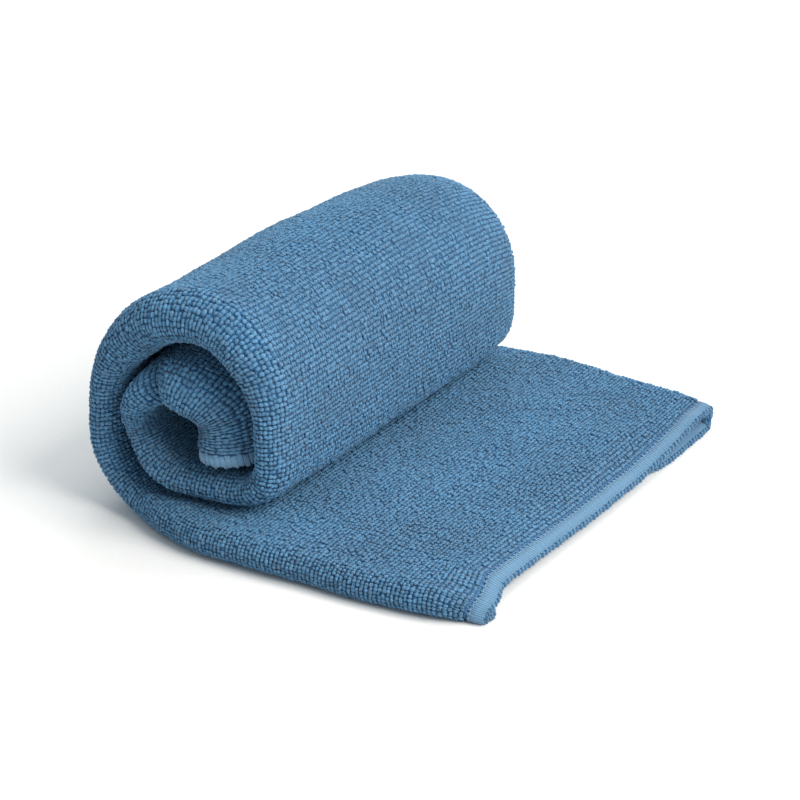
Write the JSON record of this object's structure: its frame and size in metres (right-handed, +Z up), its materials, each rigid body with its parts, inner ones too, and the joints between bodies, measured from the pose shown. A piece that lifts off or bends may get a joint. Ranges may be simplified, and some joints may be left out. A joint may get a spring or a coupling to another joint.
{
  "type": "quick dry towel",
  "caption": "Loosely rolled terry travel towel, folded lengthwise, with an overlocked free end that lies flat and curls up beside the roll.",
  "frame": {"origin": "bottom centre of the whole towel's box, on the surface that it lies on", "axes": "+Z up; +Y along the roll's axis, away from the open spiral end that is looked at; +X towards the flat free end's seam"},
  "size_m": [0.1338, 0.166, 0.0693],
  "materials": {
    "terry": "matt looped pile",
    "overlock_thread": "smooth textured thread"
  },
  "bodies": {
    "roll": {"cloth_under_roll": "terry", "cloth_outer_turn": "terry", "cloth_second_turn": "terry", "cloth_core_turn": "terry", "core_end_needle_thread": "overlock_thread", "core_end_upper_looper_thread": "overlock_thread", "core_end_lower_looper_thread": "overlock_thread"},
    "tail_root": {"cloth_tail_root": "terry"},
    "tail_middle": {"cloth_tail_middle": "terry"},
    "tail_tip": {"cloth_tail_end": "terry", "tail_end_needle_thread": "overlock_thread", "tail_end_upper_looper_thread": "overlock_thread", "tail_end_lower_looper_thread": "overlock_thread"}
  },
  "joints": [
    {"name": "tail_curl", "type": "hinge", "parent": "roll", "child": "tail_root", "pos_m": [-0.0084, 0, 0.009], "axis": [0, -1, 0], "range_deg": [0, 45]},
    {"name": "tail_curl_middle", "type": "hinge", "parent": "tail_root", "child": "tail_middle", "pos_m": [0.0166, 0, 0.009], "axis": [0, -1, 0], "range_deg": [0, 45]},
    {"name": "tail_curl_tip", "type": "hinge", "parent": "tail_middle", "child": "tail_tip", "pos_m": [0.0416, 0, 0.009], "axis": [0, -1, 0], "range_deg": [0, 45]}
  ],
  "couplings": [
    {"joint": "tail_curl_middle", "follows": "tail_curl", "ratio": 1},
    {"joint": "tail_curl_tip", "follows": "tail_curl", "ratio": 1}
  ]
}
